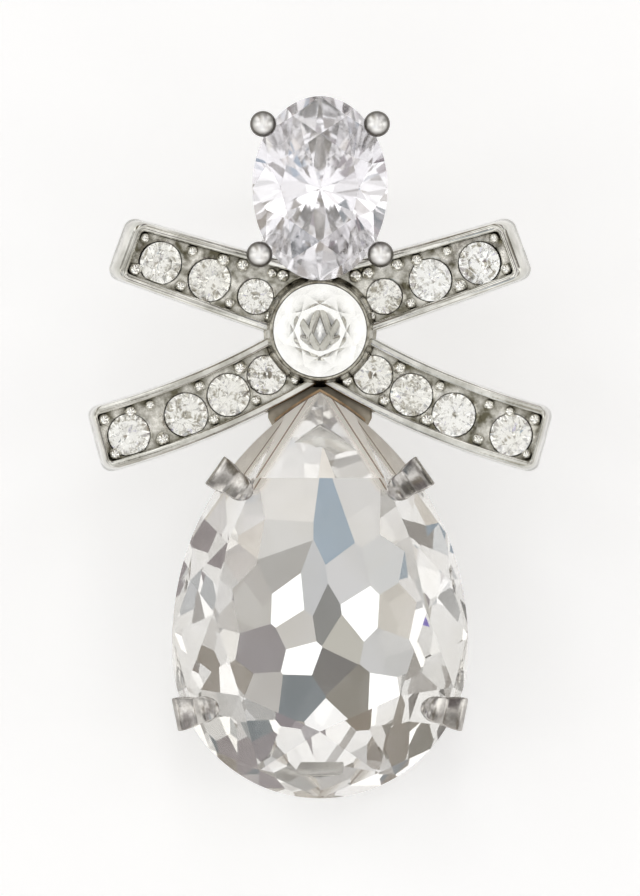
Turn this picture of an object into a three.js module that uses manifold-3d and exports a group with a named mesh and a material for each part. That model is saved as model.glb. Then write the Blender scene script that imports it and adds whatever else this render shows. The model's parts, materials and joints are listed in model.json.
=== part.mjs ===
// Bow stud earring, one of a pair: an oval stone over a ribbon bow with a round stone on its knot, and a
// pear-shaped stone below. Units are millimetres.
//
// The pieces are made in the earring's own face frame: u to the right, v up the earring, w out of its
// face, with the origin at the knot and the back of the bow at w = 0. The whole group is then laid on
// its back, as the earring lies by itself on a table: on the post's tip and on the foot of the pear
// setting, with +Z up and the pear toward -Y.
import * as THREE from "three";
import { ConvexGeometry } from "three/addons/geometries/ConvexGeometry.js";
import { mergeVertices } from "three/addons/utils/BufferGeometryUtils.js";
import Module from "manifold-3d";

const wasm = await Module();
wasm.setup();

// ---------------------------------------------------------------- driving dimensions

const STONE_GAP = 0.06; // between a stone and its setting

const PEAR = {
  tip: -2.71, // v of the point
  centre: -14.1, // v of the widest line and of the round end's centre
  radius: 6.53,
  culetV: -13.7,
  tableV: -10, // v that the table is drawn in about
  tableW: 3.8,
  girdleTop: 2.35,
  girdleFoot: 2.05,
  culetW: 0.02,
  tableScale: 0.72,
  bowlPower: 1.8, // how the back steepens from the culet to the girdle
};
const OVAL = {
  centre: 6.24,
  halfWidth: 2.97,
  halfHeight: 4.05,
  tableW: 4.85,
  girdleTop: 3.9,
  girdleFoot: 3.72,
  culetW: 1.12,
  tableScale: 0.58,
};
const ROUND = {
  radius: 2.05,
  tableW: 3.75,
  girdleTop: 3.06,
  girdleFoot: 2.92,
  culetW: 1.2,
  tableScale: 0.56,
};

const ARM = {
  thickness: 1.7,
  top: 1.95, // w of the rim at the knot
  rim: 0.34,
  channelDepth: 0.5,
  topChamfer: 0.14,
  sideDraft: 0.1,
  cornerRadius: 0.5,
  liftStart: 0.26, // share of the arm that lies flat
};
// Centre lines of the right-hand arms in (u, v); the left-hand ones are their mirror images. An arm is
// wider at the knot than at its end, on the oval's side, by its flare.
const ARM_ROWS = [
  {
    name: "upper", root: [0, 0.6], bend: [4.4, 2.08], end: [8.5, 3.57],
    width: 2.86, flare: 0.66, lift: 1.15, endRim: 0.36,
  },
  {
    name: "lower", root: [0, -0.6], bend: [4.5, -3.4], end: [9.7, -4.8],
    width: 3.04, flare: 0, lift: 0.7, endRim: 0.16,
  },
];
// The small stones, by the u and v of their centres on the right-hand side.
const SMALL_STONES = [
  { arm: "upper", u: 2.83, v: 1.51, radius: 0.77 },
  { arm: "upper", u: 4.81, v: 2.21, radius: 0.95 },
  { arm: "upper", u: 6.92, v: 2.94, radius: 0.95 },
  { arm: "lower", u: 2.35, v: -1.95, radius: 0.85 },
  { arm: "lower", u: 4.02, v: -2.83, radius: 0.94 },
  { arm: "lower", u: 5.87, v: -3.7, radius: 0.95 },
  { arm: "lower", u: 8.36, v: -4.58, radius: 0.92 },
];
const SMALL_STONE = { sides: 8, height: 0.54, tableScale: 0.58, sink: 0.08 };

const CUP = { radius: 2.5, rimTop: 3.02, lip: 0.1, shoulder: 2.45, backBevel: 0.35 };

const BASKET = { plateScale: 0.68, plateHeight: 0.8, prongRadius: 0.36, ballRadius: 0.575, ballW: 4.47 };
const PRONGS = [
  { u: 2.5, v: 9.05 },
  { u: 2.66, v: 3.32 },
];
const NECK = { halfWidth: 1.9, fromV: 1.2, toV: 4.4, height: 1.3 };

const SETTING = {
  centreV: -13.4,
  outerScale: 0.85, // of the pear's outline, about that centre
  innerScale: 0.75,
  back: -2.0,
  footFlat: 0.13, // how much of the round foot is dressed flat
};
// Seen across it, a claw is measured outward from the girdle and up in w.
const CLAW = {
  thickness: 0.34,
  rootW: -0.9,
  rootInset: 1.35,
  overhang: 0.5, // of the leg, outside the girdle
  plateWidth: 1.5,
  plateW: 2.62,
  plateRise: 0.69,
  crease: 0.5, // where the plate ends, inside the girdle
  noseWidth: 1.16,
  reach: 1.5,
};
const CLAWS = [
  { u: 4.25, v: -6.42, lean: -0.41, tipW: 3.92 },
  { u: 5.92, v: -16.85, lean: 0.33, tipW: 3.62 },
];
const BRIDGE = { top: 0.9, back: -1.2, outline: [[2.3, -1.2], [2.3, -3.85], [1.5, -5.4]] };

const POST = { v: 5.5, radius: 0.45, tip: -11, padRadius: 1.5, padThickness: 0.4, socket: 0.3 };
const POST_GROOVE = { from: 1.15, to: 1.6, depth: 0.09, tipBevel: 0.12 };

const ROUND_SIDES = 48;
const OUTLINE_STEPS = 14; // along each side of the pear, and again along each half of its round end
const BOWL_RINGS = [1, 0.85, 0.65, 0.45, 0.25]; // shares of the way from the pear's culet to its girdle
const BACK_GROWTH = 1.2; // of a slanting back's height, for each unit that its gap is wide

// ---------------------------------------------------------------- making and joining solids

const V = (u, v, w) => new THREE.Vector3(u, v, w);

// A closed geometry as a manifold-3d solid.
function solid(geometry) {
  const bare = geometry.clone();
  for (const name of Object.keys(bare.attributes)) if (name !== "position") bare.deleteAttribute(name);
  const merged = mergeVertices(bare, 1e-4);
  return new wasm.Manifold(
    new wasm.Mesh({
      numProp: 3,
      vertProperties: new Float32Array(merged.attributes.position.array),
      triVerts: new Uint32Array(merged.index.array),
    }),
  );
}

function geometryOf(manifold) {
  const mesh = manifold.getMesh();
  return new THREE.BufferGeometry()
    .setAttribute("position", new THREE.BufferAttribute(mesh.vertProperties, 3))
    .setIndex(new THREE.BufferAttribute(mesh.triVerts, 1));
}

const join = (solids) => solids.reduce((whole, next) => whole.add(next));
const cut = (body, tools) => tools.reduce((rest, tool) => rest.subtract(tool), body);

// A solid through rings of equally many points, each ring anticlockwise as seen from the last ring's end.
function loft(rings) {
  const count = rings[0].length;
  const points = rings.flat();
  const faces = [];
  for (let i = 0; i + 1 < rings.length; i++)
    for (let j = 0; j < count; j++) {
      const k = (j + 1) % count;
      const [a, b, c, d] = [i * count + j, i * count + k, (i + 1) * count + j, (i + 1) * count + k];
      faces.push(a, b, d, a, d, c);
    }
  for (const [ring, turned] of [[0, true], [rings.length - 1, false]]) {
    const middle = points.length;
    points.push(rings[ring].reduce((sum, p) => sum.add(p), V(0, 0, 0)).divideScalar(count));
    for (let j = 0; j < count; j++) {
      const [a, b] = [ring * count + j, ring * count + ((j + 1) % count)];
      faces.push(...(turned ? [middle, b, a] : [middle, a, b]));
    }
  }
  return new THREE.BufferGeometry().setFromPoints(points).setIndex(faces);
}

// A flat outline in (u, v) raised from one w to another.
function prism(outline, from, to) {
  return loft([from, to].map((w) => outline.map(([u, v]) => V(u, v, w))));
}

// A lathe about the w axis from (radius, w) pairs that start and end on the axis.
function turned(profile, sides = ROUND_SIDES) {
  const points = profile.map(([r, w]) => new THREE.Vector2(r, w));
  return new THREE.LatheGeometry(points, sides).rotateX(Math.PI / 2);
}

// A straight round bar between two points.
function bar(from, to, radius, sides = 10) {
  const along = to.clone().sub(from);
  const geometry = new THREE.CylinderGeometry(radius, radius, along.length(), sides);
  geometry.applyQuaternion(new THREE.Quaternion().setFromUnitVectors(V(0, 1, 0), along.clone().normalize()));
  return geometry.translate(...from.clone().add(to).multiplyScalar(0.5).toArray());
}

// ---------------------------------------------------------------- outlines

function ellipseOutline(halfWidth, halfHeight, centreV, steps) {
  return Array.from({ length: steps }, (_, i) => {
    const angle = (2 * Math.PI * i) / steps;
    return [halfWidth * Math.cos(angle), centreV + halfHeight * Math.sin(angle)];
  });
}

// The pear's outline, anticlockwise from its point: a curved side, the round end, the other side.
function pearOutline(grow = 0) {
  const radius = PEAR.radius + grow;
  const side = new THREE.CubicBezierCurve(
    new THREE.Vector2(0, PEAR.tip + 1.15 * grow),
    new THREE.Vector2(-3.3 - grow, -4.55 + grow),
    new THREE.Vector2(-6.6 - grow, -8.3),
    new THREE.Vector2(-radius, PEAR.centre),
  );
  const left = side.getPoints(OUTLINE_STEPS).slice(0, -1);
  const foot = Array.from({ length: 2 * OUTLINE_STEPS + 1 }, (_, i) => {
    const angle = Math.PI + (Math.PI * i) / (2 * OUTLINE_STEPS);
    return new THREE.Vector2(radius * Math.cos(angle), PEAR.centre + radius * Math.sin(angle));
  });
  const right = left.slice(1).reverse().map((p) => new THREE.Vector2(-p.x, p.y));
  return [...left, ...foot, ...right].map((p) => [p.x, p.y]);
}

function scaled(outline, factor, centreV) {
  return outline.map(([u, v]) => [u * factor, centreV + (v - centreV) * factor]);
}

// ---------------------------------------------------------------- stones

// A stone cut to an outline: a flat table, a sloped crown, a thin girdle and a pavilion down to its culet.
function cutStone(outline, centreV, cutting, grow = 0) {
  const table = scaled(outline, cutting.tableScale, centreV).filter((_, i) => i % 4 === 0);
  return new ConvexGeometry([
    ...table.map(([u, v]) => V(u, v, cutting.tableW + grow)),
    ...outline.map(([u, v]) => V(u, v, cutting.girdleTop + grow)),
    ...outline.map(([u, v]) => V(u, v, cutting.girdleFoot - grow)),
    V(0, centreV, cutting.culetW - 1.6 * grow),
  ]);
}

// The w of the bowl that the pear's back follows, at a share of the way from culet to girdle.
function bowlHeight(reach) {
  return PEAR.culetW + (PEAR.girdleFoot - PEAR.culetW) * reach ** PEAR.bowlPower;
}

function pearStone(grow = 0) {
  const outline = pearOutline(grow);
  const table = scaled(outline, PEAR.tableScale, PEAR.tableV).filter((_, i) => i % 4 === 0);
  const bowl = BOWL_RINGS.flatMap((reach) =>
    scaled(outline, reach, PEAR.culetV).map(([u, v]) => V(u, v, bowlHeight(reach) - BACK_GROWTH * grow)),
  );
  return new ConvexGeometry([
    ...table.map(([u, v]) => V(u, v, PEAR.tableW + grow)),
    ...outline.map(([u, v]) => V(u, v, PEAR.girdleTop + grow)),
    ...bowl,
    V(0, PEAR.culetV, PEAR.culetW - BACK_GROWTH * grow),
  ]);
}

function ovalStone(grow = 0) {
  const outline = ellipseOutline(OVAL.halfWidth + grow, OVAL.halfHeight + grow, OVAL.centre, 32);
  return cutStone(outline, OVAL.centre, OVAL, grow);
}

function roundStone(grow = 0) {
  const outline = ellipseOutline(ROUND.radius + grow, ROUND.radius + grow, 0, 32);
  return cutStone(outline, 0, ROUND, grow);
}

// ---------------------------------------------------------------- ribbon arms

function armCurve(row, side) {
  const [root, bend, end] = [row.root, row.bend, row.end].map(([u, v]) => new THREE.Vector2(side * u, v));
  return new THREE.QuadraticBezierCurve(root, bend, end);
}

// Place, forward lift and directions of an arm at a share t of its length.
function armFrame(row, side, t) {
  const curve = armCurve(row, side);
  const point = curve.getPointAt(t);
  const heading = curve.getTangentAt(t);
  const beyond = Math.max(0, t - ARM.liftStart) / (1 - ARM.liftStart);
  const rise = row.lift * beyond ** 2;
  const slope = (2 * row.lift * beyond) / ((1 - ARM.liftStart) * curve.getLength());
  const along = V(heading.x, heading.y, slope).normalize();
  const across = V(-heading.y, heading.x, 0);
  const up = along.clone().cross(across);
  return { origin: V(point.x, point.y, ARM.top + rise), along, across, up, length: curve.getLength() };
}

// A ring of section points, given as (across, up) pairs, at a share t of an arm, flared to its width there.
function armRing(row, side, t, section) {
  const frame = armFrame(row, side, t);
  const flare = side * row.flare * (1 - t);
  return section.map(([s, n]) => {
    const reach = s * side > 0 ? s + flare : s;
    return frame.origin.clone().addScaledVector(frame.across, reach).addScaledVector(frame.up, n);
  });
}

// Shares of the arm to place rings at, and how much the rounded corners narrow each of them.
function armStations(length, endInset, cornerRadius) {
  const body = [0, 0.14, 0.28, 0.4, 0.52, 0.64, 0.76, 0.87].map((t) => ({ t, narrow: 0 }));
  const corner = [1, 0.6, 0.3, 0.1, 0].map((share) => {
    const back = share * cornerRadius;
    const narrow = cornerRadius - Math.sqrt(cornerRadius ** 2 - (cornerRadius - back) ** 2);
    return { t: 1 - (endInset + back) / length, narrow };
  });
  return [...body, ...corner];
}

function armBody(row, side) {
  const half = row.width / 2;
  const { length } = armFrame(row, side, 0);
  const rings = armStations(length, 0, ARM.cornerRadius).map(({ t, narrow }) => {
    const foot = half - narrow;
    const top = foot - ARM.sideDraft;
    const bevel = ARM.topChamfer;
    return armRing(row, side, t, [
      [foot, -ARM.thickness],
      [top, -bevel],
      [top - bevel, 0],
      [bevel - top, 0],
      [-top, -bevel],
      [-foot, -ARM.thickness],
    ]);
  });
  return solid(loft(rings));
}

function armChannel(row, side) {
  const half = row.width / 2 - ARM.sideDraft - ARM.rim;
  const { length } = armFrame(row, side, 0);
  const clear = 0.6; // how far the cutter stands above the rim
  const rings = armStations(length, row.endRim, 0.6 * ARM.cornerRadius).map(({ t, narrow }) =>
    armRing(row, side, t, [
      [half - narrow, -ARM.channelDepth],
      [half - narrow, clear],
      [narrow - half, clear],
      [narrow - half, -ARM.channelDepth],
    ]),
  );
  return solid(loft(rings));
}

// A small stone as a few-sided frustum standing in its channel, square to the arm there.
function smallStone(stone, side) {
  const row = ARM_ROWS.find(({ name }) => name === stone.arm);
  const curve = armCurve(row, side);
  const shares = Array.from({ length: 201 }, (_, i) => i / 200);
  const distance = (t) => Math.abs(curve.getPointAt(t).x - side * stone.u);
  const nearest = shares.reduce((best, t) => (distance(t) < distance(best) ? t : best));
  const frame = armFrame(row, side, nearest);
  const { sides, height, tableScale, sink } = SMALL_STONE;
  const geometry = new THREE.CylinderGeometry(stone.radius * tableScale, stone.radius, height + sink, sides);
  geometry.rotateX(Math.PI / 2).translate(0, 0, (height + sink) / 2 - sink);
  geometry.applyMatrix4(new THREE.Matrix4().makeBasis(frame.along, frame.across, frame.up));
  const place = V(side * stone.u, stone.v, frame.origin.z);
  place.addScaledVector(frame.up, -ARM.channelDepth);
  return solid(geometry.translate(...place.toArray()));
}

// ---------------------------------------------------------------- settings

function roundCup() {
  const { radius, rimTop, lip, shoulder, backBevel } = CUP;
  return solid(
    turned([
      [0, 0],
      [radius - backBevel, 0],
      [radius, backBevel],
      [radius, shoulder],
      [ROUND.radius + STONE_GAP + lip, rimTop],
      [0, rimTop],
    ]),
  );
}

function ovalBasket() {
  const { plateScale, plateHeight, prongRadius, ballRadius, ballW } = BASKET;
  const plate = ellipseOutline(OVAL.halfWidth * plateScale, OVAL.halfHeight * plateScale, OVAL.centre, 32);
  const pieces = [solid(prism(plate, 0, plateHeight))];
  for (const { u, v } of PRONGS)
    for (const side of [1, -1]) {
      const ball = V(side * u, v, ballW);
      const root = V(0.62 * side * u, OVAL.centre + 0.62 * (v - OVAL.centre), 0.3);
      const sphere = new THREE.SphereGeometry(ballRadius, 16, 10).rotateX(Math.PI / 2);
      pieces.push(solid(bar(root, ball, prongRadius)), solid(sphere.translate(...ball.toArray())));
    }
  const { halfWidth, fromV, toV, height } = NECK;
  const neck = new THREE.BoxGeometry(2 * halfWidth, toV - fromV, height);
  pieces.push(solid(neck.translate(0, (fromV + toV) / 2, height / 2)));
  return join(pieces);
}

// The pear setting's wall: the pear's outline drawn in, open at its back.
function pearWall() {
  const outer = scaled(pearOutline(), SETTING.outerScale, SETTING.centreV);
  const lowest = Math.min(...outer.map(([, v]) => v)) + SETTING.footFlat;
  const flatFoot = outer.map(([u, v]) => [u, Math.max(v, lowest)]);
  const inner = scaled(pearOutline(), SETTING.innerScale, SETTING.centreV);
  const height = bowlHeight(SETTING.outerScale);
  const hollow = prism(inner, SETTING.back - 1, height + 1);
  return solid(prism(flatFoot, SETTING.back, height)).subtract(solid(hollow));
}

// A closed profile of (outward from the girdle, w) pairs, given a width across.
function strip(profile, width) {
  const shape = new THREE.Shape(profile.map(([out, w]) => new THREE.Vector2(out, w)));
  const geometry = new THREE.ExtrudeGeometry(shape, { depth: width, bevelEnabled: false });
  return geometry.translate(0, 0, -width / 2).rotateX(Math.PI / 2);
}

// A claw: a leg from the wall past the girdle, a flat plate over the crown's edge and a narrower nose.
function claw({ u, v, lean, tipW }, side) {
  const { thickness, rootW, rootInset, overhang, plateWidth, plateW, plateRise } = CLAW;
  const { crease, noseWidth, reach } = CLAW;
  const ridge = plateW + plateRise;
  const plate = strip([
    [-rootInset, rootW],
    [0.6 - rootInset, rootW],
    [overhang, PEAR.girdleFoot - 0.5],
    [overhang, plateW],
    [overhang - 0.1, plateW + 0.15],
    [-crease, ridge],
    [-crease, ridge - thickness],
    [overhang - thickness, plateW],
    [overhang - thickness, PEAR.girdleFoot - 0.3],
    [-rootInset, rootW + 0.7],
  ], plateWidth);
  const nose = strip([
    [0.2 - crease, ridge - thickness],
    [0.2 - crease, ridge - 0.1],
    [-crease, ridge + 0.1],
    [-crease - 0.3, tipW],
    [0.3 - reach, tipW + thickness / 2],
    [-reach, tipW],
    [-reach, tipW - thickness],
    [-crease, ridge - thickness],
  ], noseWidth);
  const outward = Math.atan2(v - SETTING.centreV, side * u) + side * lean;
  return join([plate, nose].map((piece) => solid(piece.rotateZ(outward).translate(side * u, v, 0))));
}

function pearSetting() {
  const claws = CLAWS.flatMap((row) => [1, -1].map((side) => claw(row, side)));
  return join([pearWall(), ...claws]);
}

function bridge() {
  const right = BRIDGE.outline;
  const left = right.map(([u, v]) => [-u, v]).reverse();
  return solid(prism([...left, ...right].reverse(), BRIDGE.back, BRIDGE.top));
}

function postPad() {
  const pad = turned([
    [0, -POST.padThickness],
    [POST.padRadius, -POST.padThickness],
    [POST.padRadius, 0.2],
    [0, 0.2],
  ], 32);
  return solid(pad.translate(0, POST.v, 0));
}

// ---------------------------------------------------------------- the pieces

function bowMount() {
  const sides = [1, -1];
  const bodies = ARM_ROWS.flatMap((row) => sides.map((side) => armBody(row, side)));
  const channels = ARM_ROWS.flatMap((row) => sides.map((side) => armChannel(row, side)));
  const small = SMALL_STONES.flatMap((stone) => sides.map((side) => smallStone(stone, side)));
  const arms = join([cut(join(bodies), channels), ...small]);
  const whole = join([arms, roundCup(), ovalBasket(), bridge(), pearSetting(), postPad()]);
  const socket = turned([
    [0, -POST.padThickness - 1],
    [POST.radius + STONE_GAP, -POST.padThickness - 1],
    [POST.radius + STONE_GAP, -POST.padThickness + POST.socket],
    [0, -POST.padThickness + POST.socket],
  ], 24).translate(0, POST.v, 0);
  const seats = [pearStone(STONE_GAP), ovalStone(STONE_GAP), roundStone(STONE_GAP), socket];
  return cut(whole, seats.map(solid));
}

function earPost() {
  const { radius, tip } = POST;
  const { from, to, depth, tipBevel } = POST_GROOVE;
  const top = POST.socket - POST.padThickness - STONE_GAP;
  const post = turned([
    [0, tip],
    [radius - tipBevel, tip],
    [radius, tip + tipBevel],
    [radius, tip + from],
    [radius - depth, tip + from + depth],
    [radius - depth, tip + to - depth],
    [radius, tip + to],
    [radius, top],
    [0, top],
  ], 24);
  return post.translate(0, POST.v, 0);
}

const metal = { color: 0xc9c8c0, metalness: 1, roughness: 0.22 };
const glass = { metalness: 0, roughness: 0.03, transparent: true, opacity: 0.75 };

const PIECES = [
  { name: "bow_mount", geometry: geometryOf(bowMount()), finish: metal },
  { name: "ear_post", geometry: earPost(), finish: metal },
  { name: "pear_stone", geometry: pearStone(), finish: { ...glass, color: 0xe6e9ec } },
  { name: "oval_stone", geometry: ovalStone(), finish: { ...glass, color: 0xe6e2ee } },
  { name: "round_stone", geometry: roundStone(), finish: { ...glass, color: 0xf4f4f2 } },
];

const face = new THREE.Group();
for (const { name, geometry, finish } of PIECES) {
  const mesh = new THREE.Mesh(geometry, new THREE.MeshStandardMaterial(finish));
  mesh.name = name;
  face.add(mesh);
}

// Lying by itself, the earring touches the table with the back edge of the setting's flat foot and with
// the lower edge of the post's tip, so the line through both is level.
const { centreV, outerScale, footFlat } = SETTING;
const footV = centreV + outerScale * (PEAR.centre - PEAR.radius - centreV) + footFlat;
const postEdgeV = POST.v - POST.radius + POST_GROOVE.tipBevel;
face.rotation.x = Math.atan2(SETTING.back - POST.tip, postEdgeV - footV);

const earring = new THREE.Group();
earring.add(face);
earring.updateMatrixWorld(true);
const bounds = new THREE.Box3().setFromObject(earring, true);
face.position.set(0, -(bounds.min.y + bounds.max.y) / 2, -bounds.min.z);

export default earring;
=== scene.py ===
"""Bow stud earring, one of a pair, lying on its back on a pale table.

Every piece is modelled in millimetres in the earring's own face frame (u to the right, v up the
earring, w out of its face, with the origin at the knot and the back of the bow at w = 0) and is
then laid down with the rest pose of the frame, in metres.
"""
import json
import math

import bmesh
import bpy
from mathutils import Matrix, Vector
from mathutils.geometry import interpolate_bezier, intersect_line_line_2d


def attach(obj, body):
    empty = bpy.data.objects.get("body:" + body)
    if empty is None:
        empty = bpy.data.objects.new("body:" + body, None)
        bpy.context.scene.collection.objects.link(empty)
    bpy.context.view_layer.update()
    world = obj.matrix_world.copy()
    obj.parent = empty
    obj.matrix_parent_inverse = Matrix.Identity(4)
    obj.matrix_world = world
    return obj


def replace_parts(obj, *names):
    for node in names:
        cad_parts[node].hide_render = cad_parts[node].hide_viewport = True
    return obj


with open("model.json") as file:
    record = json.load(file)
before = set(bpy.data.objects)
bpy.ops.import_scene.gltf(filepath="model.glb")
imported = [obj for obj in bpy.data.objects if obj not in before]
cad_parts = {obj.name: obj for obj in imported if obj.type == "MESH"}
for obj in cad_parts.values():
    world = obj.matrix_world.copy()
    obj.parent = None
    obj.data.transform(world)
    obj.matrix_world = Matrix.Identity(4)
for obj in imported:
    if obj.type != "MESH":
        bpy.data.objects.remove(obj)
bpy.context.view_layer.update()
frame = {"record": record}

# ------------------------------------------------------------------ sizes, in millimetres

STONE_GAP = 0.06

PEAR = {
    "tip": -2.71, "centre": -14.1, "radius": 6.53, "culet_v": -13.7, "table_v": -10.0,
    "table_w": 3.8, "girdle_top": 2.38, "girdle_foot": 2.02, "culet_w": 0.02, "table_scale": 0.72,
    "tip_scale": 0.48, "flank_scale": 0.8, "bowl_power": 1.8,
}
# The beige under each flank of the pear's point, a painted reflection, comes in over a band with a painted
# dark line in it. The band's middle starts from_u beside the point and leaves the middle of the face at a
# slope. The silvering dulls just before it, and all this fades out just below fade_v.
FLANK = {
    "from_u": 0.25, "slope": 0.61, "half_band": 0.5, "dull_from": -0.45, "dull_full": -0.1,
    "fade_v": -6.9, "fade": 0.5, "roughness": 0.4,
}
OVAL = {
    "centre": 6.24, "half_width": 2.97, "half_height": 4.05,
    "table_w": 4.85, "girdle_top": 3.92, "girdle_foot": 3.7, "culet_w": 1.12, "table_scale": 0.58,
}
ROUND = {
    "radius": 2.05,
    "table_w": 3.75, "girdle_top": 3.07, "girdle_foot": 2.9, "culet_w": 1.2, "table_scale": 0.56,
}

ARM = {
    "thickness": 1.7, "top": 1.95, "rim": 0.34, "channel_depth": 0.5, "pit_depth": 1.35,
    "wall_slope": 0.14, "rim_bevel": 0.14, "foot_bevel": 0.16, "side_draft": 0.1, "corner_radius": 0.5,
    "lift_start": 0.26, "bends": 34, "floor_gap": 0.02,
}
ARM_ROWS = {
    "upper": {
        "root": (0, 0.6), "bend": (4.4, 2.08), "end": (8.5, 3.57), "width": 2.86, "flare": 0.66,
        "lift": 1.15, "end_rim": 0.36,
    },
    "lower": {
        "root": (0, -0.6), "bend": (4.5, -3.4), "end": (9.7, -4.8), "width": 3.04, "flare": 0.0,
        "lift": 0.7, "end_rim": 0.16,
    },
}
# Small stones by the u and v of their centres on the right-hand arms and their radius, from the knot
# outwards. The heights of SMALL_STONE are those of a stone of its radius.
SMALL_STONES = {
    "upper": [(2.83, 1.51, 0.77), (4.81, 2.21, 0.93), (6.92, 2.94, 0.93)],
    "lower": [(2.35, -1.95, 0.85), (4.02, -2.83, 0.93), (5.87, -3.7, 0.95), (8.36, -4.58, 0.92)],
}
SEAT = {"lip": 0.07, "wall": 0.012, "cone": 0.035, "bore": 0.3}
SMALL_STONE = {
    "radius": 0.92, "crown": 0.3, "pavilion": 0.79, "girdle": 0.05, "table_scale": 0.5, "proud": 0.04,
}
# Beads: how deep they sit, how far from the arm's end, the innermost stone and a stone's middle, and how far
# their sizes and places vary.
BEAD = {
    "radius": 0.27, "sink": 0.12, "from_end": 0.05, "from_stone": 0.1, "beside": 0.3,
    "vary": 0.16, "stray": 0.12,
}

CAST_EDGE = (0.12, 3)  # how the plain cast blocks are softened: the width, and the steps round it
CUP = {
    "radius": 2.5, "rim_top": 3.02, "lip": 0.11, "shoulder": 1.5, "neck_w": 2.4, "back_bevel": 0.35,
    "seat_gap": 0.02,
}
BASKET = {
    "plate_scale": 0.68, "plate_height": 0.8, "prong_radius": 0.36, "prong_foot": 0.62, "prong_foot_w": 0.3,
    "elbow": 0.55, "bulge": 0.16, "ball_radius": 0.575, "ball_w": 4.47,
}
PRONGS = [(2.5, 9.05), (2.66, 3.32)]
NECK = {"half_width": 1.9, "from_v": 1.2, "to_v": 4.4, "height": 1.3}
SETTING = {"centre_v": -13.4, "outer_scale": 0.85, "inner_scale": 0.75, "back": -2.0, "foot_flat": 0.13}
CLAW = {
    "root_width": 1.2, "plate_width": 1.5, "nose_width": 1.16, "thickness": 0.34, "root_w": -0.9,
    "overhang": 0.5, "plate_w": 2.72, "plate_rise": 0.38, "crease": 0.5, "reach": 1.5, "edge": 0.07,
    "cuts": 40,
}
CLAW_STEPS = {"rise": 14, "fold": 6, "nose": 14}  # points on the stretches of a claw's middle line, in turn
# u, v, lean from the setting's middle in radians, and w of the tip
CLAWS = [(4.25, -6.42, -0.41, 3.68), (5.92, -16.85, 0.33, 3.62)]
BRIDGE = {"top": 0.9, "back": -1.2, "outline": [(2.3, -1.2), (2.3, -3.85), (1.5, -5.4)]}
COLLAR = {"half_width": 2.0, "gap": 0.02, "width": 0.12, "from_w": 0.7, "to_w": 2.5}
POST = {"v": 5.5, "radius": 0.45, "tip": -11.0, "pad_radius": 1.5, "pad_thickness": 0.4, "socket": 0.3}

LOBE_POINT = (1.0, 5.5, -0.4)  # the recorded point of the lobe face, in the face frame

# ------------------------------------------------------------------ the face frame


def face_to_row():
    """Matrix from millimetres in the face frame to metres in the row's frame."""
    lobe = next(m for m in frame["record"]["mounts"] if m["name"] == "lobe_face")
    back = Vector(lobe["axis"])
    laid = Matrix.Rotation(math.atan2(back.y, -back.z), 4, "X") @ Matrix.Scale(0.001, 4)
    return Matrix.Translation(Vector(lobe["pos_m"]) - laid @ Vector(LOBE_POINT)) @ laid


TO_ROW = face_to_row()

# ------------------------------------------------------------------ node helpers


def new_material(name):
    """An empty node material and its Principled shader."""
    material = bpy.data.materials.new(name)
    material.use_nodes = True
    return material, material.node_tree.nodes["Principled BSDF"]


def add_node(tree, kind, **settings):
    """A new node of a kind, with its settings."""
    node = tree.nodes.new(kind)
    for key, value in settings.items():
        setattr(node, key, value)
    return node


def object_noise(tree, scale, detail=4.0, roughness=0.55):
    """A noise texture on Object coordinates; scale is in cycles per millimetre."""
    place = add_node(tree, "ShaderNodeTexCoord")
    noise = add_node(tree, "ShaderNodeTexNoise")
    noise.inputs["Scale"].default_value = scale * 1000
    noise.inputs["Detail"].default_value = detail
    noise.inputs["Roughness"].default_value = roughness
    tree.links.new(place.outputs["Object"], noise.inputs["Vector"])
    return noise


def colour_ramp(tree, factor, stops):
    """A colour ramp on a factor socket, from (position, colour) stops."""
    ramp = add_node(tree, "ShaderNodeValToRGB")
    elements = ramp.color_ramp.elements
    while len(elements) < len(stops):
        elements.new(0.5)
    for element, (position, colour) in zip(elements, stops):
        element.position = position
        element.color = (*colour, 1.0)
    tree.links.new(factor, ramp.inputs["Fac"])
    return ramp.outputs["Color"]


def ranged(tree, factor, low, high, from_low=0.3, from_high=0.7):
    """A factor socket mapped to a range of values."""
    mapped = add_node(tree, "ShaderNodeMapRange")
    for name, value in (("From Min", from_low), ("From Max", from_high), ("To Min", low), ("To Max", high)):
        mapped.inputs[name].default_value = value
    tree.links.new(factor, mapped.inputs["Value"])
    return mapped.outputs["Result"]


def mixed(tree, factor, below, above):
    """A colour socket that goes from one colour to another as a factor goes from 0 to 1.

    Each colour is a value or a socket."""
    blend = add_node(tree, "ShaderNodeMix", data_type="RGBA")
    tree.links.new(factor, blend.inputs["Factor"])
    for name, colour in (("A", below), ("B", above)):
        if isinstance(colour, tuple):
            blend.inputs[name].default_value = (*colour, 1.0)
        else:
            tree.links.new(colour, blend.inputs[name])
    return blend.outputs["Result"]


def face_axes(tree):
    """Sockets of u, v and w, in millimetres in the face frame."""
    place = add_node(tree, "ShaderNodeTexCoord")
    face = add_node(tree, "ShaderNodeMapping")
    shift, turn, size = TO_ROW.inverted().decompose()
    for socket, value in (("Location", shift), ("Rotation", turn.to_euler()), ("Scale", size)):
        face.inputs[socket].default_value = value
    tree.links.new(place.outputs["Object"], face.inputs["Vector"])
    axes = add_node(tree, "ShaderNodeSeparateXYZ")
    tree.links.new(face.outputs["Vector"], axes.inputs["Vector"])
    return axes.outputs["X"], axes.outputs["Y"], axes.outputs["Z"]


def add_bump(tree, shader, height, strength, distance_mm):
    """Gives a shader a bump from a height socket."""
    bump = add_node(tree, "ShaderNodeBump")
    bump.inputs["Strength"].default_value = strength
    bump.inputs["Distance"].default_value = distance_mm * 0.001
    tree.links.new(height, bump.inputs["Height"])
    tree.links.new(bump.outputs["Normal"], shader.inputs["Normal"])


# ------------------------------------------------------------------ finishes


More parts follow.
